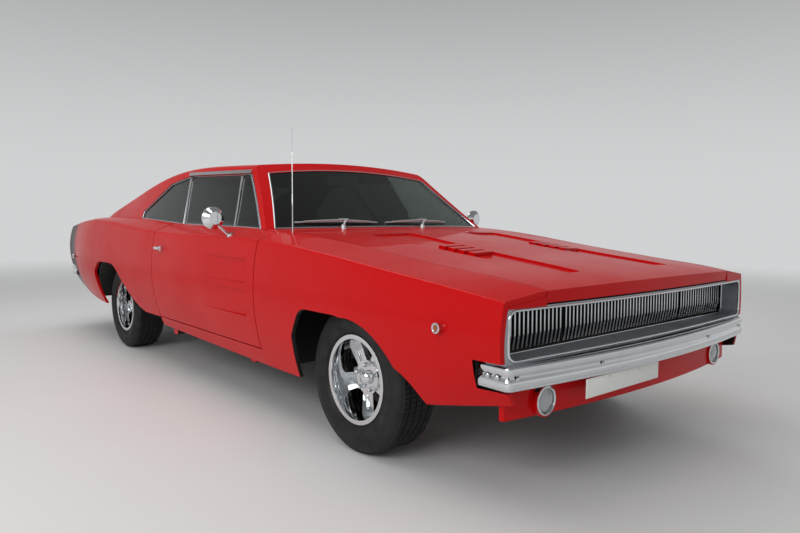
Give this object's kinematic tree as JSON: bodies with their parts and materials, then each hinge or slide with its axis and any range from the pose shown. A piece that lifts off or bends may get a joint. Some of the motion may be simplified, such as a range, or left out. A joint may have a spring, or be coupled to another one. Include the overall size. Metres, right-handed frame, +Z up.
{
  "type": "muscle car",
  "caption": "Red two-door fastback muscle car with hidden headlamps, black tail stripes and chrome five-spoke wheels.",
  "frame": {"origin": "on the road, at the middle of the car's length and width", "axes": "+X forward, +Y to the car's left, +Z up"},
  "size_m": [5.2826, 2.12, 1.45],
  "materials": {
    "red_paint": "gloss",
    "black_paint": "satin",
    "argent_paint": "satin",
    "chrome": "polished",
    "glass": "clear",
    "tyre_rubber": "matte",
    "steel": "satin",
    "cast_iron": "satin",
    "black_trim": "satin",
    "black_plastic": "satin",
    "red_lens": "gloss",
    "clear_lens": "clear",
    "white_plate": "satin"
  },
  "bodies": {
    "body": {"body_brightwork": "chrome", "cowl_panel": "red_paint", "dashboard": "black_trim", "deck_panel": "red_paint", "engine": "cast_iron", "exhaust": "steel", "floor_pan": "black_paint", "front_bumper": "chrome", "front_fenders": "red_paint", "front_frame": "black_paint", "front_lamps": "clear_lens", "front_valance": "red_paint", "fuel_tank": "black_paint", "grille_center": "black_plastic", "grille_surround": "argent_paint", "interior_mirror": "chrome", "plates": "white_plate", "quarter_glass": "glass", "quarter_panels": "red_paint", "radiator_support": "black_paint", "rear_axle": "black_paint", "rear_bumper": "chrome", "rear_valance": "red_paint", "rear_window": "glass", "roof": "red_paint", "seats": "black_trim", "steering_column": "black_plastic", "tail_lamps": "red_lens", "tail_panel": "black_paint", "windscreen": "glass"},
    "door_left": {"door_brightwork_left": "chrome", "door_glass_left": "glass", "door_left": "red_paint"},
    "door_right": {"door_brightwork_right": "chrome", "door_glass_right": "glass", "door_right": "red_paint"},
    "hood": {"hood": "red_paint"},
    "boot_lid": {"boot_lid": "red_paint"},
    "headlamp_door_left": {"headlamp_door_left": "black_plastic"},
    "headlamp_door_right": {"headlamp_door_right": "black_plastic"},
    "knuckle_left": {"knuckle_left": "black_paint"},
    "knuckle_right": {"knuckle_right": "black_paint"},
    "wheel_front_left": {"rim_front_left": "chrome", "tyre_front_left": "tyre_rubber"},
    "wheel_front_right": {"rim_front_right": "chrome", "tyre_front_right": "tyre_rubber"},
    "wheel_rear_left": {"rim_rear_left": "chrome", "tyre_rear_left": "tyre_rubber"},
    "wheel_rear_right": {"rim_rear_right": "chrome", "tyre_rear_right": "tyre_rubber"},
    "steering_wheel": {"steering_wheel": "black_plastic"}
  },
  "joints": [
    {"name": "door_left_hinge", "type": "hinge", "parent": "body", "child": "door_left", "pos_m": [0.98, 0.964, 0.6], "axis": [0, 0, -1], "range_deg": [0, 65]},
    {"name": "door_right_hinge", "type": "hinge", "parent": "body", "child": "door_right", "pos_m": [0.98, -0.964, 0.6], "axis": [0, 0, 1], "range_deg": [0, 65]},
    {"name": "hood_hinge", "type": "hinge", "parent": "body", "child": "hood", "pos_m": [1.06, 0, 0.952], "axis": [0, -1, 0], "range_deg": [0, 55]},
    {"name": "boot_lid_hinge", "type": "hinge", "parent": "body", "child": "boot_lid", "pos_m": [-2.045, 0, 0.998], "axis": [0, 1, 0], "range_deg": [0, 70]},
    {"name": "headlamp_door_left_pivot", "type": "hinge", "parent": "body", "child": "headlamp_door_left", "pos_m": [2.374, 0.658, 0.633], "axis": [0, -1, 0], "range_deg": [0, 90]},
    {"name": "headlamp_door_right_pivot", "type": "hinge", "parent": "body", "child": "headlamp_door_right", "pos_m": [2.374, -0.658, 0.633], "axis": [0, -1, 0], "range_deg": [0, 90]},
    {"name": "kingpin_left", "type": "hinge", "parent": "body", "child": "knuckle_left", "pos_m": [1.686, 0.66, 0.32], "axis": [0, 0, 1], "range_deg": [-30, 30]},
    {"name": "kingpin_right", "type": "hinge", "parent": "body", "child": "knuckle_right", "pos_m": [1.686, -0.66, 0.32], "axis": [0, 0, 1], "range_deg": [-30, 30]},
    {"name": "axle_front_left", "type": "hinge", "parent": "knuckle_left", "child": "wheel_front_left", "pos_m": [1.686, 0.755, 0.32], "axis": [0, 1, 0], "continuous": true},
    {"name": "axle_front_right", "type": "hinge", "parent": "knuckle_right", "child": "wheel_front_right", "pos_m": [1.686, -0.755, 0.32], "axis": [0, 1, 0], "continuous": true},
    {"name": "axle_rear_left", "type": "hinge", "parent": "body", "child": "wheel_rear_left", "pos_m": [-1.286, 0.752, 0.32], "axis": [0, 1, 0], "continuous": true},
    {"name": "axle_rear_right", "type": "hinge", "parent": "body", "child": "wheel_rear_right", "pos_m": [-1.286, -0.752, 0.32], "axis": [0, 1, 0], "continuous": true},
    {"name": "steering_wheel_turn", "type": "hinge", "parent": "body", "child": "steering_wheel", "pos_m": [0.47, 0.38, 0.8], "axis": [-0.9135, 0, 0.4067], "range_deg": [-480, 480]}
  ],
  "couplings": [
    {"joint": "kingpin_right", "follows": "kingpin_left", "ratio": 1},
    {"joint": "steering_wheel_turn", "follows": "kingpin_left", "ratio": -16}
  ]
}
